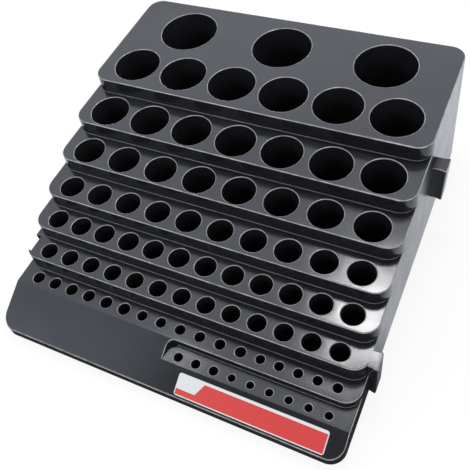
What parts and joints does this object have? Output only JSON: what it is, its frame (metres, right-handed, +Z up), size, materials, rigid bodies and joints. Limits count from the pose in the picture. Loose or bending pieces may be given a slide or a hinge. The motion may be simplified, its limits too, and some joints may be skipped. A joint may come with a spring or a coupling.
{
  "type": "drill bit holder",
  "caption": "Stepped bench rack of gloss black plastic with rows of round sockets for drill bits, from large at the back to small at the front, and link rails on its side.",
  "frame": {"origin": "on the bench, under the middle of the box round the whole rack", "axes": "+X towards the side with the link rails, +Y from the front lip to the back, +Z up"},
  "size_m": [0.1956, 0.2046, 0.0699],
  "materials": {
    "body": "gloss black moulded plastic",
    "cover": "fine-grained black moulded plastic",
    "screws": "zinc-plated steel",
    "feet": "matt rubber",
    "label": "printed vinyl, red and white"
  },
  "bodies": {
    "root": {"top_tier": "body", "second_tier": "body", "third_tier": "body", "fourth_tier": "body", "fifth_tier": "body", "sixth_tier": "body", "seventh_tier": "body", "front_apron": "body", "upper_link_rail": "body", "lower_link_rail": "body", "upper_link_channel": "body", "lower_link_channel": "body", "bottom_cover": "cover", "cover_screws": "screws", "front_left_foot": "feet", "front_right_foot": "feet", "rear_left_foot": "feet", "rear_right_foot": "feet", "label": "label"}
  },
  "joints": []
}
